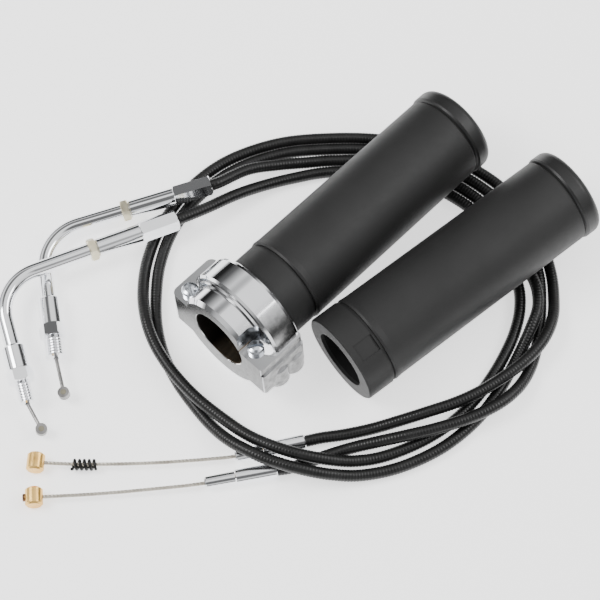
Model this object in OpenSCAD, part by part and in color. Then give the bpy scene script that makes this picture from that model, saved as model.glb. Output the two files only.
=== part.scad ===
// Twist throttle grip kit for a one inch handlebar.
// A two-piece clamp housing carries a turning throttle sleeve with its rubber
// grip; a plain matching grip, a throttle cable and an idle cable lie beside it.
// All sizes are millimetres. X runs along the handlebar bore and points
// outboard, Z is up, and the origin lies on the bore axis at the inboard face.

/* [Handlebar] */
// Handlebar diameter
bar_d = 25.4; // [22:0.1:32]
// Running clearance on diameter between throttle sleeve and bar
sleeve_clearance = 0.5; // [0.2:0.1:1.2]
// Angle the resting clamp is rolled about the bar axis
rest_roll = 4; // [0:1:8]

/* [Clamp housing] */
// Width of the clamp along the bar
housing_w = 22.6; // [20:0.2:28]
// Radius of the tall rear arch
arch_r = 24; // [22:0.5:26]
// Radius of the lower front shelf
shelf_r = 20; // [18:0.5:21]
// Radius of the rounded underside
belly_r = 22.4; // [21:0.1:24]
// Height of the screw seats above the parting plane
seat_h = 5; // [3:0.5:8]
// Radius of the pockets around the clamp screw heads
pocket_r = 4.2; // [3.8:0.1:4.2]
// Clamp screw head diameter
screw_head_d = 6.8; // [6:0.1:8]
// Clamp screw thread diameter
screw_d = 4.2; // [3.5:0.1:5]
// Throttle cable port thread diameter
port_throttle_d = 7.94; // [7:0.01:9]
// Idle cable port thread diameter
port_idle_d = 6.35; // [5:0.01:8]

/* [Grips] */
// Grip body radius beside the collar
grip_r = 19; // [16:0.1:22]
// Grip body radius beside the end cap
grip_tip_r = 18.6; // [16:0.1:22]
// Radius of the end caps
cap_r = 19.2; // [17:0.1:22]
// Length from clamp inboard face to the tip of the throttle grip
throttle_len = 139; // [120:0.5:160]
// Length of the plain left grip
left_len = 121; // [110:0.5:140]
// Radius of the left grip collar
left_collar_r = 19.3; // [17:0.1:22]

/* [Cables] */
// Outer diameter of the black cable jacket
jacket_d = 5; // [4:0.1:7]
// Inner wire diameter
wire_d = 1.5; // [1:0.1:2]
// Elbow tube outer diameter
elbow_d = 6.2; // [5:0.1:8]
// Elbow bend radius
elbow_bend_r = 18; // [14:1:30]
// Adjuster sleeve diameter
adjuster_d = 7.4; // [6.5:0.1:9]
// Adjuster hex size across flats
adjuster_af = 8; // [7:0.1:10]
// Brass barrel diameter
barrel_d = 7.1; // [6:0.1:9]
// Brass barrel length
barrel_l = 7.3; // [5:0.1:10]

/* [Hidden] */

chrome = [0.82, 0.83, 0.85];
dark_metal = [0.45, 0.43, 0.4];
rubber = [0.09, 0.09, 0.09];
vinyl = [0.07, 0.07, 0.075];
zinc = [0.86, 0.8, 0.62];
brass = [0.85, 0.66, 0.36];
steel = [0.6, 0.59, 0.56];

floor_z = -24.3;                     // surface the kit lies on
bore_r = bar_d / 2 + 0.05;
land_x = 10.1;                       // end of the bar clamping land
cavity_x = 20.3;                     // rear end of the drum cavity
cavity_r = 18.1;
drum_r = 17.6;
groove_r = 15.6;
drum_x0 = 10.4;
drum_x1 = 20.0;
sleeve_ri = bar_d / 2 + sleeve_clearance / 2;
sleeve_ro = 14.5;
track_throttle_x = 18.2;             // wire grooves of the drum
track_idle_x = 11.7;
ports = [[18.2, port_throttle_d], [10.2, port_idle_d]];
port_y = -18.8;
port_z = -17;                        // mouths of the cable ports
port_depth = 6.6;
screws = [[5.6, 21.4], [5.6, -15.9]];    // clamp screw places, left then right
pocket_x = 5.6 + pocket_r;

// ---------------------------------------------------------------- helpers

// solid of revolution about X from [x, radius] points
module turned(pts) {
    rotate([0, 90, 0]) rotate_extrude($fn = 96)
        polygon([for (p = pts) [p[1], p[0]]]);
}

module rod_x(x0, x1, r) {
    translate([x0, 0, 0]) rotate([0, 90, 0]) cylinder(r = r, h = x1 - x0, $fn = 64);
}

module hex_x(x0, x1, af, bore) {
    difference() {
        intersection() {
            translate([x0, 0, 0]) rotate([0, 90, 0]) rotate([0, 0, 30])
                cylinder(d = af / cos(30), h = x1 - x0, $fn = 6);
            turned([[x0, 0], [x0, af / 2 - 0.1], [x0 + 0.7, af / cos(30) / 2 + 0.05],
                    [x1 - 0.7, af / cos(30) / 2 + 0.05], [x1, af / 2 - 0.1], [x1, 0]]);
        }
        rod_x(x0 - 1, x1 + 1, bore);
    }
}

function unit(v) = v / norm(v);

// rigid placing: local X along ex, local Y towards ey, origin at p
module placed(p, ex, ey) {
    x = unit(ex);
    z = unit(cross(x, ey));
    y = cross(z, x);
    multmatrix([[x[0], y[0], z[0], p[0]], [x[1], y[1], z[1], p[1]],
                [x[2], y[2], z[2], p[2]], [0, 0, 0, 1]]) children();
}

function spline(a, b, c, d, t) =
    0.5 * (2 * b + (c - a) * t + (2 * a - 5 * b + 4 * c - d) * t * t
           + (3 * b - a - 3 * c + d) * t * t * t);

// curve through the points, n steps between neighbours
function curve(p, n) = concat(
    [for (i = [0 : len(p) - 2], k = [0 : n - 1])
        spline(p[max(i - 1, 0)], p[i], p[i + 1], p[min(i + 2, len(p) - 1)], k / n)],
    [p[len(p) - 1]]);

function way(c, i) = unit(c[min(i + 1, len(c) - 1)] - c[max(i - 1, 0)]);
function across(t) = unit(cross([0, 0, 1], t));

function ring(p, t, r, n) = [for (k = [0 : n - 1])
    p + r * (cos(360 * k / n) * across(t) + sin(360 * k / n) * cross(t, across(t)))];

// closed tube of radius r swept along the points of c, n sides
module swept(c, r, n) {
    m = len(c);
    polyhedron(
        points = [for (i = [0 : m - 1]) each ring(c[i], way(c, i), r, n)],
        faces = concat(
            [[for (k = [0 : n - 1]) k]],
            [for (i = [0 : m - 2], k = [0 : n - 1])
                [i * n + k, (i + 1) * n + k, (i + 1) * n + (k + 1) % n]],
            [for (i = [0 : m - 2], k = [0 : n - 1])
                [i * n + k, (i + 1) * n + (k + 1) % n, i * n + (k + 1) % n]],
            [[for (k = [n - 1 : -1 : 0]) (m - 1) * n + k]]),
        convexity = 10);
}

module rolled() { rotate([-rest_roll, 0, 0]) children(); }

// ---------------------------------------------------------------- clamp housing

// outline block of the clamp with upright corners rounded by r
module block(y0, y1, z0, z1, r) {
    translate([0, y0 + r, z0]) cube([housing_w, y1 - y0 - 2 * r, z1 - z0]);
    translate([r, y0, z0]) cube([housing_w - 2 * r, y1 - y0, z1 - z0]);
    for (x = [r, housing_w - r], y = [y0 + r, y1 - r])
        translate([x, y, z0]) cylinder(r = r, h = z1 - z0, $fn = 48);
}

module inner_cuts() {
    rod_x(-1, land_x + 0.1, bore_r);
    rod_x(land_x, cavity_x, cavity_r);
    rod_x(cavity_x - 0.1, housing_w + 1, sleeve_ro + 0.5);
    turned([[-0.5, 0], [-0.5, bore_r + 0.9], [0.4, bore_r], [0.4, 0]]);
}

module housing_lower() color(chrome) rolled() difference() {
    union() {
        intersection() {
            turned([[0, 0], [0, belly_r - 1], [1, belly_r], [housing_w - 2.4, belly_r],
                    [housing_w - 0.7, belly_r - 0.9], [housing_w, belly_r - 2.2], [housing_w, 0]]);
            translate([-1, -30, -30]) cube([housing_w + 2, 60, 30]);
        }
        block(9, 27, -13.9, 0, 3);
        block(-25.4, -9, -13.6, 0, 1.5);
        // bosses of the two cable ports, flush with the outboard face
        intersection() {
            for (p = ports) translate([p[0], port_y, port_z]) {
                cylinder(r = 5.2, h = 11, $fn = 64);
                translate([0, -2, 0]) cylinder(r = 5.6, h = 11, $fn = 64);
            }
            translate([0, -40, -40]) cube([housing_w, 40, 40]);
        }
        // boss of the friction screw
        translate([14, 0, -23.9]) cylinder(r = 4.6, h = 5, $fn = 48);
    }
    inner_cuts();
    // tapped screw holes
    for (s = screws) translate([s[0], s[1], -8.6]) cylinder(d = screw_d, h = 10, $fn = 40);
    // tapped cable ports and their wire passages
    for (p = ports) translate([p[0], port_y, port_z - 2]) {
        cylinder(d = p[1], h = port_depth + 2, $fn = 48);
        cylinder(r = 1.5, h = 18.4, $fn = 32);
    }
    // tapped hole of the friction screw
    translate([14, 0, -25]) cylinder(d = 4.2, h = 8, $fn = 40);
}

module housing_upper() color(chrome) rolled() difference() {
    union() {
        intersection() {
            turned([[0, 0], [0, shelf_r - 1.6], [1.6, shelf_r], [8.4, shelf_r], [8.7, shelf_r + 1.8],
                    [9.7, shelf_r + 1.8], [10, arch_r - 0.9], [10.9, arch_r],
                    [housing_w - 1.8, arch_r - 0.1], [housing_w - 0.7, arch_r - 0.5],
                    [housing_w, arch_r - 1.4], [housing_w, 0]]);
            translate([-1, -30, 0.05]) cube([housing_w + 2, 60, 30]);
        }
        block(9, 26.8, 0.05, seat_h, 3);
        block(-24.6, -9, 0.05, seat_h, 1.5);
    }
    inner_cuts();
    for (s = screws) {
        translate([s[0], s[1], -1]) cylinder(d = screw_d + 0.3, h = 20, $fn = 40);
        // counterbored seat, open to the inboard face and outwards
        translate([s[0], s[1], seat_h]) cylinder(r = pocket_r, h = 30, $fn = 64);
        translate([-1, s[1] - pocket_r, seat_h]) cube([s[0] + 1, 2 * pocket_r, 30]);
    }
    translate([-1, screws[0][1], seat_h]) cube([pocket_x + 1, 10, 30]);
    translate([-1, screws[1][1] - 15, seat_h]) cube([pocket_x + 1, 15, 30]);
}

// slotted fillister screws
module clamp_screws() color(steel) rolled() for (s = screws) translate([s[0], s[1], 0]) difference() {
    union() {
        translate([0, 0, -8]) cylinder(d = screw_d - 0.1, h = 13.2, $fn = 40);
        translate([0, 0, seat_h]) rotate_extrude($fn = 64)
            polygon([[0, 0], [screw_head_d / 2, 0], [screw_head_d / 2, 1.7],
                     [2.9, 2.4], [1.9, 2.9], [0.8, 3.1], [0, 3.15]]);
    }
    rotate([0, 0, s[1] > 0 ? 62 : -38]) translate([-5, -0.5, seat_h + 1.6]) cube([10, 1, 4]);
}

module friction_screw() color(dark_metal) rolled() difference() {
    translate([14, 0, -23.8]) cylinder(d = 4.1, h = 2.9, $fn = 40);
    translate([10, -0.4, -24.6]) cube([8, 0.8, 1.4]);
}

module friction_pad() color(brass) rolled() translate([14, 0, -20.8]) cylinder(d = 4, h = 3, $fn = 40);

// ---------------------------------------------------------------- throttle grip

module throttle_sleeve() color(dark_metal) difference() {
    turned([[drum_x0, sleeve_ri], [drum_x0, drum_r],
            [track_idle_x - 1.1, drum_r], [track_idle_x - 0.9, groove_r], [track_idle_x + 0.9, groove_r],
            [track_idle_x + 1.1, drum_r],
            [track_throttle_x - 1.1, drum_r], [track_throttle_x - 0.9, groove_r],
            [track_throttle_x + 0.9, groove_r], [track_throttle_x + 1.1, drum_r],
            [drum_x1, drum_r], [drum_x1, sleeve_ro], [throttle_len - 10.5, sleeve_ro],
            [throttle_len - 10.5, sleeve_ri]]);
    // pockets that take the drum ends of the wires
    rotate([65, 0, 0]) translate([track_idle_x - 2.4, 0, 16.4]) rotate([0, 90, 0])
        cylinder(r = 2.5, h = 4.8, $fn = 40);
    rotate([-160, 0, 0]) translate([track_throttle_x - 3, 0, 16.4]) rotate([0, 90, 0])
        cylinder(r = 2.5, h = 5.4, $fn = 40);
}

module throttle_rubber() color(rubber) {
    x0 = housing_w + 0.5;
    x1 = throttle_len - 9.6;
    turned([[x0, sleeve_ro], [x0, 18.1], [x0 + 0.6, 18.7], [x0 + 12.2, 18.7],
            [x0 + 12.4, 18], [x0 + 13.3, 18], [x0 + 13.5, grip_r - 0.1], [x0 + 14.4, grip_r + 0.25],
            [x0 + 17, grip_r], [x1 - 1, grip_tip_r], [x1 - 0.2, grip_tip_r - 0.4], [x1, grip_tip_r - 1.2],
            [x1, sleeve_ro]]);
}

function dome(x0, x1, r, b) = concat(
    [[x0, r - 1], [x0 + 0.5, r - 0.35], [x0 + 1.3, r], [x1 - b - 1.6, r - 0.05]],
    [for (a = [15 : 15 : 75]) [x1 - b - 1.6 + b * sin(a), r - 0.05 - b * (1 - cos(a))]],
    [[x1 - 1.2, r - b - 0.6], [x1 - 0.3, r * 0.45], [x1, 0]]);

module throttle_cap() color(rubber)
    turned(concat([[throttle_len - 9.6, 0]], dome(throttle_len - 9.6, throttle_len, cap_r, 3)));

// ---------------------------------------------------------------- left grip

left_p = [29.3, -38.8, floor_z + 19.6];

module left_placed() translate(left_p) rotate([0, -3.4, -7.3]) children();

module left_liner() color(dark_metal) left_placed()
    turned([[1.5, bar_d / 2 - 0.2], [1.5, 13.9], [108, 13.9], [108, bar_d / 2 - 0.2]]);

module left_rubber() color(rubber) left_placed() difference() {
    x1 = left_len - 9.6;
    turned([[0, 12.5], [0, left_collar_r - 0.6], [0.6, left_collar_r], [11.7, left_collar_r],
            [11.9, 18.3], [12.9, 18.3], [13.1, grip_r], [14, grip_r + 0.25], [16.6, grip_r],
            [x1 - 1, grip_tip_r], [x1 - 0.2, grip_tip_r - 0.4], [x1, grip_tip_r - 1.2],
            [x1, 13.9], [1.5, 13.9], [1.5, 12.5]]);
    // shallow recessed panel in the collar, with a deeper notch at its edge
    rotate([26, 0, 0]) translate([3, -3.7, 18.55]) cube([8, 7.4, 5]);
    rotate([26, 0, 0]) translate([10.8, -3.7, 17.6]) cube([1.1, 7.4, 5]);
}

module left_cap() color(rubber) left_placed()
    turned(concat([[left_len - 9.6, 0]], dome(left_len - 9.6, left_len, cap_r, 3)));

// ---------------------------------------------------------------- cable elbows

// adjuster end, corner and fitting end of each cable elbow
throttle_path = [[50.5, 56.8, -12.5], [-13.2, 92.4, -20], [-46.3, 46.9, -19.3]];
idle_path = [[29.6, 55.5, -13.4], [-42.9, 85.4, -11.8], [-68, 40, -18.4]];
hex_len = 16;
sleeve_end = 35;
nut_x = 35.2;
nut_t = 3.2;
fit_thread = 9;
fit_hex = 5.6;
// length of the round sleeve on each fitting
throttle_body = 12;
idle_body = 10;

function leg1(p) = norm(p[1] - p[0]);
function leg2(p) = norm(p[2] - p[1]);
function bend(p) = acos(unit(p[1] - p[0]) * unit(p[2] - p[1]));
function tang(p) = elbow_bend_r * tan(bend(p) / 2);

module on_leg1(p) placed(p[0], p[1] - p[0], p[2] - p[1]) children();
// second leg: local X runs from the fitting end back towards the corner
module on_leg2(p) placed(p[2], p[1] - p[2], p[0] - p[1]) children();

module adjuster(p) color(chrome) on_leg1(p) difference() {
    union() {
        hex_x(0, hex_len, adjuster_af, 1);
        turned([[hex_len - 0.1, 0], [hex_len - 0.1, adjuster_d / 2], [sleeve_end - 0.4, adjuster_d / 2],
                [sleeve_end, adjuster_d / 2 - 0.4], [sleeve_end, 0]]);
    }
    rod_x(-1, 8, jacket_d / 2 + 0.05);
    rod_x(7, 16.2, 1.2);
    rod_x(16, sleeve_end + 1, elbow_d / 2 + 0.05);
}

module throttle_adjuster() adjuster(throttle_path);
module idle_adjuster() adjuster(idle_path);

module jam_nut(p) color(zinc) on_leg1(p) hex_x(nut_x, nut_x + nut_t, 8.5, elbow_d / 2 + 0.05);
module throttle_jam_nut() jam_nut(throttle_path);
module idle_jam_nut() jam_nut(idle_path);

// depth at which the elbow tube ends inside a fitting with that sleeve
function seat(body) = fit_thread + fit_hex + body - 4;

// tube of the elbow from x0 inside its adjuster to x2 inside its fitting, radius r
module elbow_solid(p, r, x0, x2) {
    x1 = leg1(p) - tang(p);
    on_leg1(p) rod_x(x0, x1, r);
    on_leg1(p) translate([x1, elbow_bend_r, 0]) rotate([0, 0, -91])
        rotate_extrude(angle = bend(p) + 2, $fn = 96) translate([elbow_bend_r, 0])
            circle(r = r - 0.02, $fn = 48);
    on_leg2(p) rod_x(x2, leg2(p) - tang(p), r);
}

module elbow(p, x0, body) color(chrome) difference() {
    elbow_solid(p, elbow_d / 2, x0, seat(body));
    elbow_solid(p, 1.1, x0 - 0.4, seat(body) - 0.4);
}

// the throttle elbow is drawn out of its adjuster, the idle elbow is fully in
module throttle_elbow() elbow(throttle_path, 24.4, throttle_body);
module idle_elbow() elbow(idle_path, 16.4, idle_body);

// end fitting with sleeve, hex and thread that screws into the clamp
module fitting(p, d, body) color(chrome) on_leg2(p) difference() {
    union() {
        // thread as turned crests
        turned(concat([[0, 0], [0, d / 2 - 1]],
            [for (i = [0 : 6]) each [[0.6 + i * 1.2, d / 2 - 0.05], [0.8 + i * 1.2, d / 2 - 0.05],
                                     [1.3 + i * 1.2, d / 2 - 0.7]]],
            [[fit_thread + 0.1, d / 2 - 0.7], [fit_thread + 0.1, 0]]));
        hex_x(fit_thread, fit_thread + fit_hex, 9.4, 1);
        turned([[fit_thread + fit_hex - 0.1, 0], [fit_thread + fit_hex - 0.1, 4.6],
                [fit_thread + fit_hex + body - 0.5, 4.5],
                [fit_thread + fit_hex + body, 4.1], [fit_thread + fit_hex + body, 0]]);
    }
    rod_x(-1, seat(body), 1.1);
    rod_x(seat(body) - 0.2, 40, elbow_d / 2 + 0.05);
}

module throttle_fitting() fitting(throttle_path, port_throttle_d, throttle_body);
module idle_fitting() fitting(idle_path, port_idle_d, idle_body);

// wire with its drum end; it reaches back into the straight part of the elbow
// and its bare length out is set off by an angle
module drum_wire(p, out, angle) color(steel) on_leg2(p) {
    rod_x(0, 28, wire_d / 2);
    sphere(r = wire_d / 2 + 0.05, $fn = 48);
    rotate([0, 0, -angle]) {
        rod_x(-out + 2, 0, wire_d / 2);
        translate([-out, 0, -1.5]) cylinder(r = 2.35, h = 3, $fn = 48);
    }
}

module throttle_drum_wire() drum_wire(throttle_path, 15.9, 4.8);
module idle_drum_wire() drum_wire(idle_path, 12.1, 13);

// ---------------------------------------------------------------- cable jackets

// loop centre and route points as [clock angle, radius, height over the surface];
// angle 0 lies to the right of the kit and grows anticlockwise
loop_c = [48, -25.2];
function spot(p) = [loop_c[0] + p[1] * cos(p[0] - 45), loop_c[1] + p[1] * sin(p[0] - 45), floor_z + p[2]];

idle_loop = [[139, 76.7, 9.4], [129, 73.6, 7.6], [119, 72.2, 4.6], [108, 71.2, 2.9], [96, 71, 2.6],
    [80, 71.6, 2.6], [64, 73, 2.6], [48, 74, 2.6], [36, 73.6, 2.6], [24, 72.4, 2.6], [14, 72, 2.6],
    [6, 70.4, 2.6], [358, 67.8, 2.6], [350, 65, 2.6], [340, 62.3, 2.6], [328, 60.3, 2.6],
    [315, 59.2, 2.6], [300, 58.4, 2.6], [284, 58.8, 2.6], [272, 59.8, 4], [262, 60.9, 7.2],
    [252, 62.1, 9.4], [241, 63.4, 9.8], [231, 64.6, 8.6], [221, 66, 7.8], [211, 69, 7.8],
    [203, 72, 7.8], [195, 75.4, 7.8], [187, 79, 7.8], [179, 82, 7.2], [170, 84.8, 4.6],
    [160, 87.4, 2.7], [149, 89.4, 2.6], [137, 90.8, 2.6], [124, 91, 2.6], [110, 89.3, 2.6],
    [96, 87.2, 2.6], [80, 87.4, 2.6], [64, 89, 2.6], [48, 90.2, 2.6], [36, 89.8, 2.6],
    [26, 88.6, 2.6], [16, 86.7, 2.7], [8, 84.8, 3.4], [1, 82.8, 5.8], [354, 79.2, 7.7],
    [347, 74, 8], [339, 67.6, 8], [330, 61.6, 7.9], [320, 56, 7.8], [308, 50.8, 7.4],
    [294, 47.4, 5.4], [281, 46.6, 3.4], [268, 48, 3]];
throttle_loop = [[121, 80.4, 8], [112, 78.2, 5.4], [103, 76.8, 3.2], [94, 76.3, 2.6],
    [80, 76.9, 2.6], [64, 78.4, 2.6], [48, 79.3, 2.6], [36, 78.9, 2.6], [28, 77.9, 2.6],
    [22, 77.3, 3.7], [16, 77.7, 6.4], [10, 78, 8], [4, 77, 8], [358, 74, 6.8],
    [351, 70.8, 3.6], [343, 68.3, 2.6], [332, 66.6, 2.6], [319, 65.6, 2.6], [304, 65, 2.6],
    [288, 65, 2.6], [274, 65.8, 3.6], [263, 66.9, 6.8], [253, 68, 9.4], [243, 69.2, 9.9],
    [235, 70.1, 9.6], [227, 70.6, 6.9], [219, 70.6, 3.9], [210, 71.2, 2.7], [200, 73.2, 2.6],
    [190, 75.6, 2.6], [180, 77.6, 2.6], [170, 79.4, 2.6], [160, 81.8, 2.6], [149, 84, 2.6],
    [137, 85.4, 2.6], [124, 85.6, 2.6], [110, 84, 2.6], [96, 81.9, 2.6], [80, 82.2, 2.6],
    [64, 83.7, 2.6], [48, 84.7, 2.6], [36, 84.6, 2.6], [26, 83.4, 2.6], [16, 81.5, 2.6],
    [8, 79.4, 2.6], [0, 77.9, 2.6], [353, 76.8, 2.6], [347, 76, 2.7], [341, 74.8, 4.2],
    [335, 73, 6.4], [328, 69.8, 7.8], [318, 64.2, 8], [306, 58.6, 8], [294, 55, 7.4],
    [283, 53.2, 5.2], [272, 53.6, 3.2], [262, 57, 2.6]];

// carburettor ends: jacket end and mouth of each ferrule
idle_end = [[-0.5, -48.9, -21], [-24.5, -33.9, -21]];
throttle_end = [[-17, -49.6, -21], [-41, -33.5, -21]];

function back(p, d) = p[0] + d * unit(p[0] - p[1]);

function idle_route() = concat(
    [back(idle_path, -7.8), back(idle_path, -3), back(idle_path, 3)],
    [for (p = idle_loop) spot(p)],
    [back(idle_end, 7), back(idle_end, 0), back(idle_end, -5)]);
function throttle_route() = concat(
    [back(throttle_path, -7.8), back(throttle_path, -3), back(throttle_path, 3)],
    [for (p = throttle_loop) spot(p)],
    [back(throttle_end, 7), back(throttle_end, 0), back(throttle_end, -5)]);

module idle_jacket() color(vinyl) swept(curve(idle_route(), 1), jacket_d / 2, 10);
module throttle_jacket() color(vinyl) swept(curve(throttle_route(), 1), jacket_d / 2, 10);

// ---------------------------------------------------------------- carburettor ends

module on_end(e) placed(e[0], e[1] - e[0], [0, 0, 1]) children();

module throttle_ferrule() color(chrome) on_end(throttle_end) difference() {
    turned([[0, 0], [0, 2.8], [0.4, 3.15], [16.4, 3.15], [16.8, 2.7], [17.4, 2.7],
            [28.4, 2.6], [28.9, 2.2], [28.9, 0]]);
    rod_x(-1, 5.2, jacket_d / 2 + 0.05);
    rod_x(5, 40, 1.7);
}

module idle_ferrule() color(chrome) on_end(idle_end) difference() {
    turned([[0, 0], [0, 2.8], [0.4, 3.15], [17, 3.15], [17.4, 2.7], [18, 2.7],
            [27.8, 2.6], [28.3, 2.2], [28.3, 0]]);
    rod_x(-1, 5.2, jacket_d / 2 + 0.05);
    rod_x(5, 40, 1.7);
}

// each wire starts inside its ferrule and bends gently towards the barrel
wire_in = 11.5;
idle_wire_pts = [[-30.9, -28.9, -21], [-38.5, -22.5, -21], [-47.5, -14.7, -21], [-56.2, -6.7, -21],
                 [-64.7, 1.5, -21], [-72.5, 9.4, -21], [-80.2, 17.75, -20.8]];
throttle_wire_pts = [[-47.3, -28.8, -21], [-55, -22.6, -21], [-65.7, -13.9, -21], [-76.2, -5, -21],
                     [-85, 2.8, -20.9], [-90.4, 7.6, -20.8]];
idle_barrel_p = [-82.2, 20, -20.7];
throttle_barrel_p = [-92.6, 9.6, -20.7];

module carb_wire(e, pts) color(steel)
    swept(concat([e[1] - wire_in * unit(e[1] - e[0]), e[1] - 4 * unit(e[1] - e[0]), e[1]], pts), wire_d / 2, 8);

module idle_carb_wire() carb_wire(idle_end, idle_wire_pts);
module throttle_carb_wire() carb_wire(throttle_end, throttle_wire_pts);

module barrel(p, dir) color(brass) placed(p, dir, [0, 0, 1]) difference() {
    rotate([90, 0, 0]) translate([0, 0, 0]) rotate([90, 0, 0]) {
        rotate_extrude($fn = 64) polygon([[0, -barrel_l / 2], [barrel_d / 2 - 0.7, -barrel_l / 2],
            [barrel_d / 2, -barrel_l / 2 + 0.7], [barrel_d / 2, barrel_l / 2 - 0.7],
            [barrel_d / 2 - 0.7, barrel_l / 2], [0, barrel_l / 2]]);
    }
    rod_x(-10, -2.9, wire_d / 2 + 0.05);
}

module idle_barrel() barrel(idle_barrel_p, [-0.66, 0.75, 0]);
// the throttle wire's end shows as a small button on the far side of its barrel
module throttle_barrel() {
    barrel(throttle_barrel_p, [-0.745, 0.667, 0]);
    color(steel) placed(throttle_barrel_p, [-0.745, 0.667, 0], [0, 0, 1]) rod_x(3.3, 4.4, 1.5);
}

// loose return spring carried on the idle wire
spring_a = [-65.9, 2.5, -21.3];
spring_b = [-72.6, 9.4, -21.3];
coils = 5;
spring_r = 1.85;
spring_wire_r = 0.6;
function helix(n) = [for (i = [0 : n]) let (u = unit(spring_b - spring_a), s = across(u),
    a = 360 * coils * i / n)
    spring_a + (spring_b - spring_a) * (i / n) + spring_r * (cos(a) * s + sin(a) * [0, 0, 1])];

// ring held square to the helix run, for a coil wound about the wire
function coil_ring(c, i, r, n) = let (t = way(c, i), m = unit(cross(unit(spring_b - spring_a), t)),
    q = cross(t, m)) [for (k = [0 : n - 1]) c[i] + r * (cos(360 * k / n) * m + sin(360 * k / n) * q)];

module idle_spring() color([0.12, 0.12, 0.12]) {
    c = helix(coils * 12);
    n = 6;
    m = len(c);
    polyhedron(
        points = [for (i = [0 : m - 1]) each coil_ring(c, i, spring_wire_r, n)],
        faces = concat(
            [[for (k = [0 : n - 1]) k]],
            [for (i = [0 : m - 2], k = [0 : n - 1])
                [i * n + k, (i + 1) * n + k, (i + 1) * n + (k + 1) % n]],
            [for (i = [0 : m - 2], k = [0 : n - 1])
                [i * n + k, (i + 1) * n + (k + 1) % n, i * n + (k + 1) % n]],
            [[for (k = [n - 1 : -1 : 0]) (m - 1) * n + k]]),
        convexity = 10);
}

// ---------------------------------------------------------------- assembly

housing_lower();
housing_upper();
clamp_screws();
friction_screw();
friction_pad();
throttle_sleeve();
throttle_rubber();
throttle_cap();
left_liner();
left_rubber();
left_cap();
throttle_jacket();
idle_jacket();
throttle_adjuster();
idle_adjuster();
throttle_jam_nut();
idle_jam_nut();
throttle_elbow();
idle_elbow();
throttle_fitting();
idle_fitting();
throttle_drum_wire();
idle_drum_wire();
throttle_ferrule();
idle_ferrule();
throttle_carb_wire();
idle_carb_wire();
throttle_barrel();
idle_barrel();
idle_spring();
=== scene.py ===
"""Throttle grip kit: split clamp with its twist grip, a plain left grip and two cables.

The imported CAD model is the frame. Every length is in metres unless a name ends in _MM.
"""
import math

import bpy
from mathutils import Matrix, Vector


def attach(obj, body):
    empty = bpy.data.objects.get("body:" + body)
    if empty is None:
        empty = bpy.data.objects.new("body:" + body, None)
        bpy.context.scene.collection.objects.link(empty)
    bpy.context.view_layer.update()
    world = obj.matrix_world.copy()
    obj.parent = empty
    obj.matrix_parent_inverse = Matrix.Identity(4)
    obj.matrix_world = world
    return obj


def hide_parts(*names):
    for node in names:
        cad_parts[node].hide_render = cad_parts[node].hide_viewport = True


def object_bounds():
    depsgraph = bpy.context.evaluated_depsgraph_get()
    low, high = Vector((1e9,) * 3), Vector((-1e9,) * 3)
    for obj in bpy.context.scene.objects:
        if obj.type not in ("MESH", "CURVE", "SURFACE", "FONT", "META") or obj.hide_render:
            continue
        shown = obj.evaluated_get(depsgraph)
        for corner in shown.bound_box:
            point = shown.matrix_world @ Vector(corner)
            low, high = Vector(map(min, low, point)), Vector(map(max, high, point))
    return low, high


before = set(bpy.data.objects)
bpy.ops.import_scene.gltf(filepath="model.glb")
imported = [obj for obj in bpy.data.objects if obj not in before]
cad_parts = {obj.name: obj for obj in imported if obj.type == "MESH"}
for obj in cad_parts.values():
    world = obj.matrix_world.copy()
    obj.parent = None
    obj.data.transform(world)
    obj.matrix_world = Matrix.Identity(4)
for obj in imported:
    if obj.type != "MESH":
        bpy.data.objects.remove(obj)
CAD_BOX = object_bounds()
MM = 0.001

# ------------------------------------------------------------------ camera

VIEW_AZIMUTH = -45.0
VIEW_ELEVATION = 64.5
VIEW_TARGET = Vector((0.0350, -0.0106, 0.0))
VIEW_DISTANCE = 1.0
VIEW_LENS_MM = 150.6


def make_camera():
    a, e = math.radians(VIEW_AZIMUTH), math.radians(VIEW_ELEVATION)
    back = Vector((math.sin(a) * math.cos(e), -math.cos(a) * math.cos(e), math.sin(e)))
    data = bpy.data.cameras.new("photo_camera")
    data.sensor_width = 36.0
    data.lens = VIEW_LENS_MM
    data.clip_start, data.clip_end = 0.05, 20.0
    cam = bpy.data.objects.new("photo_camera", data)
    bpy.context.scene.collection.objects.link(cam)
    cam.location = VIEW_TARGET + back * VIEW_DISTANCE
    cam.rotation_mode = "QUATERNION"
    cam.rotation_quaternion = (-back).to_track_quat("-Z", "Y")
    bpy.context.scene.camera = cam


make_camera()

# ------------------------------------------------------------------ cable routes
# The same numbers as in the CAD source, in millimetres.

FLOOR_Z = -24.3
THROTTLE_PATH = [(50.5, 56.8, -12.5), (-13.2, 92.4, -20), (-46.3, 46.9, -19.3)]
IDLE_PATH = [(29.6, 55.5, -13.4), (-42.9, 85.4, -11.8), (-68, 40, -18.4)]
IDLE_END = [(-0.5, -48.9, -21), (-24.5, -33.9, -21)]
THROTTLE_END = [(-17, -49.6, -21), (-41, -33.5, -21)]
# bare wires from the ferrule mouths to the barrels
IDLE_WIRE = [
    (-30.9, -28.9, -21), (-38.5, -22.5, -21), (-47.5, -14.7, -21), (-56.2, -6.7, -21),
    (-64.7, 1.5, -21), (-72.5, 9.4, -21), (-80.2, 17.75, -20.8),
]
THROTTLE_WIRE = [
    (-47.3, -28.8, -21), (-55, -22.6, -21), (-65.7, -13.9, -21), (-76.2, -5, -21),
    (-85, 2.8, -20.9), (-90.4, 7.6, -20.8),
]
THROTTLE_BARREL = [(-92.6, 9.6, -20.7), (-0.745, 0.667, 0)]
SPRING_LINE = [(-65.9, 2.5, -21.3), (-72.6, 9.4, -21.3)]
SPRING_COILS = 5
SPRING_R = 1.85
SPRING_WIRE_R = 0.6
SPRING_STEPS = 36
SPRING_SIDES = 12
LOOP_CENTRE = (48, -25.2)
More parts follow.
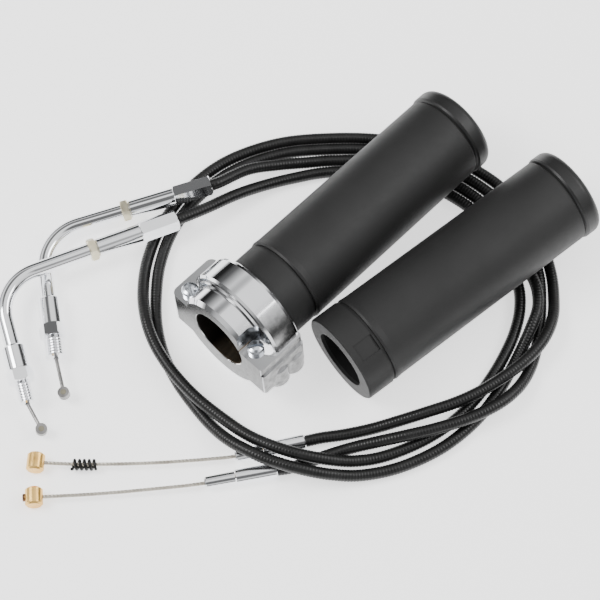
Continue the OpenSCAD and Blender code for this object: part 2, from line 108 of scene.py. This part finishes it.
# where a jacket starts, inside its adjuster, measured back along the elbow path
JACKET_EXIT = -7.8
# [clock angle, radius, height over the surface] round the loop
IDLE_LOOP = [
    (139, 76.7, 9.4), (129, 73.6, 7.6), (119, 72.2, 4.6), (108, 71.2, 2.9), (96, 71, 2.6),
    (80, 71.6, 2.6), (64, 73, 2.6), (48, 74, 2.6), (36, 73.6, 2.6), (24, 72.4, 2.6),
    (14, 72, 2.6), (6, 70.4, 2.6), (358, 67.8, 2.6), (350, 65, 2.6), (340, 62.3, 2.6),
    (328, 60.3, 2.6), (315, 59.2, 2.6), (300, 58.4, 2.6), (284, 58.8, 2.6), (272, 59.8, 4),
    (262, 60.9, 7.2), (252, 62.1, 9.4), (241, 63.4, 9.8), (231, 64.6, 8.6), (221, 66, 7.8),
    (211, 69, 7.8), (203, 72, 7.8), (195, 75.4, 7.8), (187, 79, 7.8), (179, 82, 7.2),
    (170, 84.8, 4.6), (160, 87.4, 2.7), (149, 89.4, 2.6), (137, 90.8, 2.6), (124, 91, 2.6),
    (110, 89.3, 2.6), (96, 87.2, 2.6), (80, 87.4, 2.6), (64, 89, 2.6), (48, 90.2, 2.6),
    (36, 89.8, 2.6), (26, 88.6, 2.6), (16, 86.7, 2.7), (8, 84.8, 3.4), (1, 82.8, 5.8),
    (354, 79.2, 7.7), (347, 74, 8), (339, 67.6, 8), (330, 61.6, 7.9), (320, 56, 7.8),
    (308, 50.8, 7.4), (294, 47.4, 5.4), (281, 46.6, 3.4), (268, 48, 3),
]
THROTTLE_LOOP = [
    (121, 80.4, 8), (112, 78.2, 5.4), (103, 76.8, 3.2), (94, 76.3, 2.6), (80, 76.9, 2.6),
    (64, 78.4, 2.6), (48, 79.3, 2.6), (36, 78.9, 2.6), (28, 77.9, 2.6), (22, 77.3, 3.7),
    (16, 77.7, 6.4), (10, 78, 8), (4, 77, 8), (358, 74, 6.8), (351, 70.8, 3.6), (343, 68.3, 2.6),
    (332, 66.6, 2.6), (319, 65.6, 2.6), (304, 65, 2.6), (288, 65, 2.6), (274, 65.8, 3.6),
    (263, 66.9, 6.8), (253, 68, 9.4), (243, 69.2, 9.9), (235, 70.1, 9.6), (227, 70.6, 6.9),
    (219, 70.6, 3.9), (210, 71.2, 2.7), (200, 73.2, 2.6), (190, 75.6, 2.6), (180, 77.6, 2.6),
    (170, 79.4, 2.6), (160, 81.8, 2.6), (149, 84, 2.6), (137, 85.4, 2.6), (124, 85.6, 2.6),
    (110, 84, 2.6), (96, 81.9, 2.6), (80, 82.2, 2.6), (64, 83.7, 2.6), (48, 84.7, 2.6),
    (36, 84.6, 2.6), (26, 83.4, 2.6), (16, 81.5, 2.6), (8, 79.4, 2.6), (0, 77.9, 2.6),
    (353, 76.8, 2.6), (347, 76, 2.7), (341, 74.8, 4.2), (335, 73, 6.4), (328, 69.8, 7.8),
    (318, 64.2, 8), (306, 58.6, 8), (294, 55, 7.4), (283, 53.2, 5.2), (272, 53.6, 3.2),
    (262, 57, 2.6),
]


def vecs(points):
    return [Vector(p) for p in points]


def beyond(path, d):
    """The point d behind the first one, on the line through the first two."""
    a, b = vecs(path[:2])
    return a + d * (a - b).normalized()


def spot(p):
    """A loop point from its clock angle, radius and height."""
    a = math.radians(p[0] - 45)
    return Vector((LOOP_CENTRE[0] + p[1] * math.cos(a), LOOP_CENTRE[1] + p[1] * math.sin(a),
                   FLOOR_Z + p[2]))


def route(path, loop, end):
    return ([beyond(path, d) for d in (JACKET_EXIT, -3, 3)] + [spot(p) for p in loop]
            + [beyond(end, d) for d in (7, 0, -5)])


def spline(points, steps):
    """Catmull-Rom curve through the points, with steps stretches between neighbours."""
    out = []
    last = len(points) - 1
    for i in range(last):
        a, b = points[max(i - 1, 0)], points[i]
        c, d = points[i + 1], points[min(i + 2, last)]
        for k in range(steps):
            t = k / steps
            out.append(0.5 * (2 * b + (c - a) * t + (2 * a - 5 * b + 4 * c - d) * t * t
                              + (3 * b - a - 3 * c + d) * t ** 3))
    return out + [points[last]]


def resample(points, pitch):
    """Points at even spacing of about pitch along the line, ends kept."""
    lengths = [0.0]
    for a, b in zip(points, points[1:]):
        lengths.append(lengths[-1] + (b - a).length)
    n = max(2, round(lengths[-1] / pitch))
    out, j = [], 0
    for i in range(n + 1):
        s = lengths[-1] * i / n
        while j < len(lengths) - 2 and lengths[j + 1] < s:
            j += 1
        span = lengths[j + 1] - lengths[j]
        out.append(points[j].lerp(points[j + 1], (s - lengths[j]) / span))
    return out


# ------------------------------------------------------------------ mesh helpers

def add_mesh(name, verts_mm, faces, smooth=True):
    mesh = bpy.data.meshes.new(name)
    mesh.from_pydata([Vector(v) * MM for v in verts_mm], [], faces)
    mesh.validate()
    mesh.polygons.foreach_set("use_smooth", [smooth] * len(mesh.polygons))
    obj = bpy.data.objects.new(name, mesh)
    bpy.context.scene.collection.objects.link(obj)
    return obj


def grid_faces(rings, sides, offset=0):
    """Quads of a tube and its two end caps."""
    faces = [[offset + i * sides + k, offset + i * sides + (k + 1) % sides,
              offset + (i + 1) * sides + (k + 1) % sides, offset + (i + 1) * sides + k]
             for i in range(rings - 1) for k in range(sides)]
    faces.append([offset + k for k in range(sides)][::-1])
    faces.append([offset + (rings - 1) * sides + k for k in range(sides)])
    return faces


def carried_frames(points):
    """Side and up vectors along the line, carried without twist."""
    out = []
    side = None
    for i, p in enumerate(points):
        t = (points[min(i + 1, len(points) - 1)] - points[max(i - 1, 0)]).normalized()
        if side is None:
            side = Vector((0, 0, 1)).cross(t).normalized()
        side = (side - side.dot(t) * t).normalized()
        out.append((t, side, t.cross(side)))
    return out


def tube(name, points, radius, sides, turn=0.0):
    """Mesh tube along points, turned by the angle turn from ring to ring.

    radius is a function of (ring index, side index).
    """
    verts = []
    for i, (p, (_, side, up)) in enumerate(zip(points, carried_frames(points))):
        for k in range(sides):
            a = 2 * math.pi * k / sides + turn * i
            verts.append(p + radius(i, k) * (math.cos(a) * side + math.sin(a) * up))
    return add_mesh(name, verts, grid_faces(len(points), sides))


DISC_SIDES = 32


def disc(name, centre, axis, radius, thick, edge=0.15):
    """Short round plate with a small chamfer, centred on its back face."""
    axis = Vector(axis).normalized()
    rings = [(0, radius), (thick - edge, radius), (thick, radius - edge)]
    side = axis.orthogonal().normalized()
    up = axis.cross(side)
    verts = []
    for h, r in rings:
        for k in range(DISC_SIDES):
            a = 2 * math.pi * k / DISC_SIDES
            verts.append(Vector(centre) + h * axis + r * (math.cos(a) * side + math.sin(a) * up))
    return add_mesh(name, verts, grid_faces(len(rings), DISC_SIDES), smooth=False)


# ------------------------------------------------------------------ materials

class Nodes:
    """Small helper around a material's node tree."""

    def __init__(self, name):
        self.mat = bpy.data.materials.new(name)
        self.mat.use_nodes = True
        self.tree = self.mat.node_tree
        self.bsdf = self.tree.nodes["Principled BSDF"]

    def new(self, kind, **values):
        node = self.tree.nodes.new(kind)
        for key, value in values.items():
            if key in node.inputs:
                node.inputs[key].default_value = value
            else:
                setattr(node, key, value)
        return node

    def link(self, a, b):
        self.tree.links.new(a, b)

    def coords(self, scale=(1, 1, 1)):
        """Object coordinates scaled, so that detail has a real size."""
        tex = self.new("ShaderNodeTexCoord")
        mapping = self.new("ShaderNodeMapping")
        mapping.inputs["Scale"].default_value = scale
        self.link(tex.outputs["Object"], mapping.inputs["Vector"])
        return mapping.outputs["Vector"]

    def noise(self, scale, detail=4.0, rough=0.5, stretch=(1, 1, 1)):
        node = self.new("ShaderNodeTexNoise", Scale=scale, Detail=detail, Roughness=rough)
        self.link(self.coords(stretch), node.inputs["Vector"])
        return node.outputs["Fac"]

    def ramp(self, value, stops):
        node = self.new("ShaderNodeValToRGB")
        elements = node.color_ramp.elements
        while len(elements) < len(stops):
            elements.new(0.5)
        for element, (at, colour) in zip(elements, stops):
            element.position = at
            element.color = colour if len(colour) == 4 else (*colour, 1)
        self.link(value, node.inputs["Fac"])
        return node.outputs["Color"]

    def span(self, value, low, high):
        node = self.new("ShaderNodeMapRange")
        node.inputs["To Min"].default_value = low
        node.inputs["To Max"].default_value = high
        self.link(value, node.inputs["Value"])
        return node.outputs["Result"]

    def bump(self, height, distance, strength=1.0, after=None):
        node = self.new("ShaderNodeBump")
        node.inputs["Strength"].default_value = strength
        node.inputs["Distance"].default_value = distance
        self.link(height, node.inputs["Height"])
        if after is not None:
            self.link(after, node.inputs["Normal"])
        return node.outputs["Normal"]

    def set(self, **values):
        for key, value in values.items():
            socket = self.bsdf.inputs[key.replace("_", " ")]
            if hasattr(value, "is_output"):
                self.link(value, socket)
            else:
                socket.default_value = value

    def axis_value(self, index, output="Object"):
        """One component of the object coordinates or of the object's own normal."""
        tex = self.new("ShaderNodeTexCoord")
        split = self.new("ShaderNodeSeparateXYZ")
        self.link(tex.outputs[output], split.inputs["Vector"])
        return split.outputs[index]

    def mask(self, value, from_low, from_high):
        """1 below from_low, 0 above from_high."""
        node = self.new("ShaderNodeMapRange")
        node.inputs["From Min"].default_value = from_low
        node.inputs["From Max"].default_value = from_high
        node.inputs["To Min"].default_value = 1
        node.inputs["To Max"].default_value = 0
        self.link(value, node.inputs["Value"])
        return node.outputs["Result"]

    def maths(self, operation, a, b=0.0):
        node = self.new("ShaderNodeMath", operation=operation)
        for socket, value in zip(node.inputs, (a, b)):
            if hasattr(value, "is_output"):
                self.link(value, socket)
            else:
                socket.default_value = value
        return node.outputs[0]

    def mix(self, factor, a, b):
        """Colour a where factor is 0, b where it is 1."""
        node = self.new("ShaderNodeMixRGB")
        self.link(factor, node.inputs["Fac"])
        for socket, value in ((node.inputs["Color1"], a), (node.inputs["Color2"], b)):
            if hasattr(value, "is_output"):
                self.link(value, socket)
            else:
                socket.default_value = (*value, 1)
        return node.outputs["Color"]


def grey(v):
    return (v, v, v)


PLATE_TINT = (0.90, 0.91, 0.93)
PLATE_SHADE = tuple(c * 0.94 for c in PLATE_TINT)


def plate_colour(n):
    """Faintly clouded colour of chrome plate."""
    return n.ramp(n.noise(90, 3), [(0.3, PLATE_SHADE), (0.7, PLATE_TINT)])


def plate_waves(n):
    return n.bump(n.noise(2600, 2), 3e-6, 0.5)


def chrome(name, rough):
    n = Nodes(name)
    n.set(Metallic=1.0, Base_Color=plate_colour(n),
          Roughness=n.span(n.noise(260, 5, 0.6), *rough), Normal=plate_waves(n))
    return n.mat


# x part of the clamp's normal on its front face, and y part on its -Y side, the faces that get
# painted shade greys
FRONT_NORMAL = (-0.97, -0.90)
SIDE_NORMAL = (-0.75, -0.35)
# distance from the bar's axis between which the bore's bronze gives way to chrome
BORE_EDGE = (0.01285, 0.01300)
# y between which the bore's bronze darkens into painted shade, near black towards +y
BORE_SHADE = (-0.010, 0.005)


def clamp_chrome(name, face):
    """Chrome of a clamp half, with its bore dull bronze and painted shade: flat greys instead of
    plate on its front face and its -Y side, and near black on the bore's +y side.

    face is the (dark, light) range of the front face's painted shade grey; the -Y side's painted
    shade runs from 1.6 to 2 times it.
    """
    n = Nodes(name)
    plate = plate_colour(n)
    # painted shade: front faces and -Y side faces take flat greys by their normal instead of the
    # plate colour
    front = n.mask(n.axis_value(0, "Normal"), *FRONT_NORMAL)
    side = n.mask(n.axis_value(1, "Normal"), *SIDE_NORMAL)
    front_face_painted_shade = n.ramp(n.noise(420, 6, 0.7), [(0.35, grey(face[0])), (0.65, grey(face[1]))])
    from_axis = n.new("ShaderNodeVectorMath", operation="LENGTH")
    n.link(n.coords((0, 1, 1)), from_axis.inputs[0])
    bore = n.mask(from_axis.outputs["Value"], *BORE_EDGE)
    bronze = n.ramp(n.noise(150, 5, 0.6, (0.3, 1, 1)),
                    [(0.35, (0.22, 0.17, 0.12)), (0.7, (0.78, 0.66, 0.50))])
    # painted shade: the bore's bronze goes near black towards +y
    bronze = n.mix(n.mask(n.axis_value(1), *BORE_SHADE), (0.03, 0.027, 0.025), bronze)
    side_painted_shade = n.ramp(n.noise(300, 5, 0.65), [(0.35, grey(face[0] * 1.6)), (0.65, grey(face[1] * 2))])
    colour = n.mix(bore, n.mix(front, n.mix(side, plate, side_painted_shade), front_face_painted_shade), bronze)
    rough = n.maths("ADD", n.span(n.noise(260, 5, 0.6), 0.035, 0.10),
                    n.maths("ADD", n.maths("MULTIPLY", bore, 0.22),
                            n.maths("MULTIPLY", n.maths("MAXIMUM", front, side), 0.14)))
    n.set(Metallic=1.0, Base_Color=colour, Roughness=rough, Normal=plate_waves(n))
    return n.mat


def rubber(name, base=0.015, rough=(0.44, 0.58), grain=1.0):
    n = Nodes(name)
    pebble = n.noise(2400, 3, 0.55)
    cloud = n.noise(45, 4)
    n.set(Base_Color=n.ramp(cloud, [(0.25, grey(base * 0.82)), (0.75, grey(base * 1.25))]),
          Roughness=n.span(n.noise(320, 4), *rough),
          Normal=n.bump(pebble, 3.0e-5 * grain, 0.6), Specular_IOR_Level=0.34)
    return n.mat


def metal(name, dark, light, rough, scale=500, grain=8e-6, stretch=(1, 1, 1)):
    n = Nodes(name)
    speck = n.noise(scale, 5, 0.6, stretch)
    n.set(Metallic=1.0,
          Base_Color=n.ramp(n.noise(scale * 0.3, 4), [(0.3, dark), (0.7, light)]),
          Roughness=n.span(speck, *rough),
          Normal=n.bump(speck, grain, 0.7))
    return n.mat


def vinyl(name):
    n = Nodes(name)
    n.set(Base_Color=n.ramp(n.noise(160, 4), [(0.3, grey(0.006)), (0.7, grey(0.012))]),
          Roughness=n.span(n.noise(700, 4), 0.24, 0.36),
          Normal=n.bump(n.noise(2600, 3), 1.2e-5, 0.5), Specular_IOR_Level=0.34)
    return n.mat


def plastic(name, base, rough=(0.75, 0.9)):
    n = Nodes(name)
    n.set(Base_Color=n.ramp(n.noise(120, 4), [(0.3, grey(base * 0.85)), (0.7, grey(base * 1.15))]),
          Roughness=n.span(n.noise(500, 4), *rough),
          Normal=n.bump(n.noise(1800, 3), 1.5e-5, 0.5), Specular_IOR_Level=0.1)
    return n.mat


# the pairs are the dark and light painted shade greys on each half's front face
CHROME_LOWER = clamp_chrome("chrome_lower_clamp", (0.08, 0.17))
CHROME_UPPER = clamp_chrome("chrome_upper_clamp", (0.08, 0.16))
CHROME_TUBE = chrome("chrome_tube", rough=(0.05, 0.13))
SCREW = metal("screw_plate", (0.62, 0.66, 0.72), (0.80, 0.83, 0.88), (0.12, 0.30))
DARK_SCREW = metal("screw_dark", (0.20, 0.19, 0.18), (0.34, 0.33, 0.31), (0.3, 0.5))
SLEEVE = metal("sleeve_bronze", (0.20, 0.15, 0.09), (0.42, 0.33, 0.20), (0.22, 0.42), 260, 1e-5,
               (0.15, 1, 1))
LINER = plastic("liner_plastic", 0.012)
RUBBER = rubber("grip_rubber")
CAP_RUBBER = rubber("cap_rubber", base=0.013, rough=(0.34, 0.46), grain=0.7)
VINYL = vinyl("jacket_vinyl")
ZINC = metal("nut_zinc", (0.60, 0.54, 0.36), (0.86, 0.80, 0.62), (0.22, 0.40))
DRUM_WIRE = metal("wire_drum_end", (0.14, 0.14, 0.14), (0.36, 0.35, 0.34), (0.26, 0.45))
WIRE = metal("wire_strands", (0.44, 0.40, 0.34), (0.72, 0.68, 0.60), (0.26, 0.42))
CRIMP = metal("drum_crimp", (0.16, 0.15, 0.11), (0.30, 0.28, 0.21), (0.35, 0.5))
BRASS = metal("barrel_brass", (0.66, 0.36, 0.08), (0.92, 0.60, 0.20), (0.22, 0.40))
BUTTON = metal("barrel_button", (0.10, 0.05, 0.03), (0.22, 0.12, 0.07), (0.3, 0.45))
SPRING = metal("spring_black", (0.02, 0.02, 0.02), (0.06, 0.06, 0.06), (0.30, 0.5))

CAD_MATERIALS = {
    "housing_lower": CHROME_LOWER, "housing_upper": CHROME_UPPER, "clamp_screws": SCREW,
    "friction_screw": DARK_SCREW, "friction_pad": BRASS, "throttle_sleeve": SLEEVE,
    "throttle_rubber": RUBBER, "throttle_cap": CAP_RUBBER, "left_liner": LINER,
    "left_rubber": RUBBER, "left_cap": CAP_RUBBER, "throttle_jacket": VINYL,
    "idle_jacket": VINYL, "throttle_adjuster": CHROME_TUBE, "idle_adjuster": CHROME_TUBE,
    "throttle_jam_nut": ZINC, "idle_jam_nut": ZINC, "throttle_elbow": CHROME_TUBE,
    "idle_elbow": CHROME_TUBE, "throttle_fitting": CHROME_TUBE, "idle_fitting": CHROME_TUBE,
    "throttle_drum_wire": DRUM_WIRE, "idle_drum_wire": DRUM_WIRE, "throttle_ferrule": CHROME_TUBE,
    "idle_ferrule": CHROME_TUBE, "throttle_carb_wire": WIRE, "idle_carb_wire": WIRE,
    "throttle_barrel": BRASS, "idle_barrel": BRASS, "idle_spring": SPRING,
}


def paint(obj, material):
    obj.data.materials.clear()
    obj.data.materials.append(material)


for node_name, material in CAD_MATERIALS.items():
    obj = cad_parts[node_name]
    if obj.material_slots:
        for slot in obj.material_slots:
            slot.material = material
    else:
        obj.data.materials.append(material)

# ------------------------------------------------------------------ ribbed jackets

RIB_PITCH = 1.25
RIB_RINGS = 4
RIB_DEPTH = 0.16
JACKET_R = 2.5
JACKET_SIDES = 18


def jacket(name, path, loop, end):
    line = resample(spline(route(path, loop, end), 24), RIB_PITCH / RIB_RINGS)

    def radius(i, _):
        phase = (i % RIB_RINGS) / RIB_RINGS
        return JACKET_R - RIB_DEPTH * (0.5 - 0.5 * math.cos(2 * math.pi * phase))

    obj = tube(name, line, radius, JACKET_SIDES)
    paint(obj, VINYL)
    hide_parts(name.replace("_ribbed", ""))
    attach(obj, "clamp_and_jackets")


jacket("throttle_jacket_ribbed", THROTTLE_PATH, THROTTLE_LOOP, THROTTLE_END)
jacket("idle_jacket_ribbed", IDLE_PATH, IDLE_LOOP, IDLE_END)

# ------------------------------------------------------------------ wires and spring

WIRE_R = 0.75
WIRE_STEP = 0.5
WIRE_LAY = 9.0
WIRE_SIDES = 24
WIRE_INSIDE = 11.5


def strand_profile(k):
    """Outline of six strands twisted round a core, in four steps a strand."""
    return WIRE_R * (1.0, 0.93, 0.74, 0.93)[k % 4]


def bare_wire(cable, end, points, with_pieces):
    """Twisted wire from inside the ferrule to its barrel."""
    mouth = Vector(end[1])
    line = resample(spline([mouth + WIRE_INSIDE * (Vector(end[0]) - mouth).normalized(), mouth]
                           + vecs(points), 12), WIRE_STEP)
    obj = tube(cable + "_wire_strands", line, lambda _, k: strand_profile(k), WIRE_SIDES,
               2 * math.pi * WIRE_STEP / WIRE_LAY)
    paint(obj, WIRE)
    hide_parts(cable + "_carb_wire")
    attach(obj, cable + "_carb_end")


def make_spring():
    a, b = vecs(SPRING_LINE)
    run = (b - a).normalized()
    side = Vector((0, 0, 1)).cross(run).normalized()
    line = []
    for i in range(SPRING_COILS * SPRING_STEPS + 1):
        t = 2 * math.pi * i / SPRING_STEPS
        line.append(a.lerp(b, i / (SPRING_COILS * SPRING_STEPS))
                    + SPRING_R * (math.cos(t) * side + math.sin(t) * Vector((0, 0, 1))))
    obj = tube("idle_spring_coil", line, lambda i, k: SPRING_WIRE_R, SPRING_SIDES)
    paint(obj, SPRING)
    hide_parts("idle_spring")
    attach(obj, "idle_carb_end")
    return obj


BUTTON_OUT, BUTTON_R, BUTTON_THICK = 3.5, 1.56, 0.95
MARK_OUT, MARK_R, MARK_THICK, MARK_EDGE = 1.42, 1.15, 0.22, 0.08


def barrel_button():
    at, way = vecs(THROTTLE_BARREL)
    obj = disc("throttle_barrel_button", at + BUTTON_OUT * way, way, BUTTON_R, BUTTON_THICK)
    paint(obj, BUTTON)
    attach(obj, "throttle_carb_end")
    return obj


def drum_mark(cable, path, out, angle):
    """Crimp mark in the middle of a drum end's upper face."""
    start, corner, end = vecs(path)
    along = (end - corner).normalized()
    down = (start - corner).cross(along).normalized()
    across = along.cross(down)
    turn = math.radians(angle)
    at = end + out * (math.cos(turn) * along + math.sin(turn) * across)
    up = -down
    obj = disc(cable + "_drum_mark", at + MARK_OUT * up, up, MARK_R, MARK_THICK, MARK_EDGE)
    paint(obj, CRIMP)
    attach(obj, cable + "_drum_wire")


drum_mark("throttle", THROTTLE_PATH, 15.9, 4.8)
drum_mark("idle", IDLE_PATH, 12.1, 13)
bare_wire("throttle", THROTTLE_END, THROTTLE_WIRE, ["throttle_barrel", barrel_button()])
bare_wire("idle", IDLE_END, IDLE_WIRE, ["idle_barrel", make_spring()])

# ------------------------------------------------------------------ stage and light


FLOOR_HALF = 3.0
FLOOR_GAP = 0.0002
# painted light: the floor glows white in a pool round the clamp out to POOL_EDGE, and is plain
# grey beyond
POOL_EDGE = (0.24, 0.60)
POOL_GLOW = 1.35


def make_stage():
    size = FLOOR_HALF
    z = CAD_BOX[0].z - FLOOR_GAP
    mesh = bpy.data.meshes.new("floor")
    mesh.from_pydata([(-size, -size, z), (size, -size, z), (size, size, z), (-size, size, z)], [],
                     [(0, 1, 2, 3)])
    floor = bpy.data.objects.new("floor", mesh)
    bpy.context.scene.collection.objects.link(floor)
    n = Nodes("floor_painted_light_pool")
    reach = n.new("ShaderNodeVectorMath", operation="LENGTH")
    n.link(n.coords(), reach.inputs[0])
    painted_light_pool = n.mask(reach.outputs["Value"], *POOL_EDGE)
    # painted light: emission makes the floor glow inside the pool
    n.set(Base_Color=n.mix(painted_light_pool, grey(0.45), grey(0.92)), Roughness=0.8,
          Emission_Color=(1, 1, 1, 1), Emission_Strength=n.maths("MULTIPLY", painted_light_pool, POOL_GLOW))
    floor.data.materials.append(n.mat)


def area_light(name, place, aim, size, power):
    data = bpy.data.lights.new(name, "AREA")
    data.shape = "RECTANGLE"
    data.size, data.size_y = size
    data.energy = power
    obj = bpy.data.objects.new(name, data)
    bpy.context.scene.collection.objects.link(obj)
    obj.location = place
    obj.rotation_mode = "QUATERNION"
    obj.rotation_quaternion = (Vector(aim) - Vector(place)).to_track_quat("-Z", "Y")


def world_ramp(tree, value, stops):
    """Grey ramp over a value from -1 to 1."""
    half = tree.nodes.new("ShaderNodeMapRange")
    half.inputs["From Min"].default_value = -1
    ramp = tree.nodes.new("ShaderNodeValToRGB")
    elements = ramp.color_ramp.elements
    while len(elements) < len(stops):
        elements.new(0.5)
    for element, (at, v) in zip(elements, stops):
        element.position = (at + 1) / 2
        element.color = (v, v, v, 1)
    tree.links.new(value, half.inputs["Value"])
    tree.links.new(half.outputs["Result"], ramp.inputs["Fac"])
    return ramp.outputs["Color"]


# dark cards round the tent: direction they hang in, and the grey over the cosine from it
DARK_CARDS = [
    ((-0.40, -0.40, 0.825), [(0.88, 1.0), (0.955, 0.12), (1.0, 0.14)]),
    ((0.05, 0.52, 0.85), [(0.945, 1.0), (0.975, 0.14), (1.0, 0.12)]),
    ((0.70, 0.70, 0.10), [(0.70, 1.0), (0.86, 0.12), (1.0, 0.08)]),
    ((0.92, -0.20, 0.34), [(0.96, 1.0), (0.985, 0.12), (1.0, 0.10)]),
]


def make_world():
    """White tent with a grey horizon and a few dark cards for the chrome to show."""
    world = bpy.data.worlds.new("studio")
    bpy.context.scene.world = world
    world.use_nodes = True
    tree = world.node_tree
    tex = tree.nodes.new("ShaderNodeTexCoord")
    split = tree.nodes.new("ShaderNodeSeparateXYZ")
    tree.links.new(tex.outputs["Generated"], split.inputs["Vector"])
    colour = world_ramp(tree, split.outputs["Z"],
                        [(-0.3, 0.5), (0.0, 0.16), (0.16, 0.20), (0.32, 0.95), (0.6, 1.25),
                         (1.0, 1.45)])
    for direction, stops in DARK_CARDS:
        towards = tree.nodes.new("ShaderNodeVectorMath")
        towards.operation = "DOT_PRODUCT"
        tree.links.new(tex.outputs["Generated"], towards.inputs[0])
        towards.inputs[1].default_value = direction
        both = tree.nodes.new("ShaderNodeMixRGB")
        both.blend_type = "MULTIPLY"
        both.inputs["Fac"].default_value = 1.0
        tree.links.new(colour, both.inputs["Color1"])
        tree.links.new(world_ramp(tree, towards.outputs["Value"], stops), both.inputs["Color2"])
        colour = both.outputs["Color"]
    tree.links.new(colour, tree.nodes["Background"].inputs["Color"])
    tree.nodes["Background"].inputs["Strength"].default_value = 1.0


make_stage()
make_world()
area_light("key", (-0.5, 0.5, 0.9), (0.05, 0, 0), (0.5, 0.5), 9)
area_light("fill", (0.7, -0.5, 0.8), (0.05, 0, 0), (0.7, 0.4), 5)
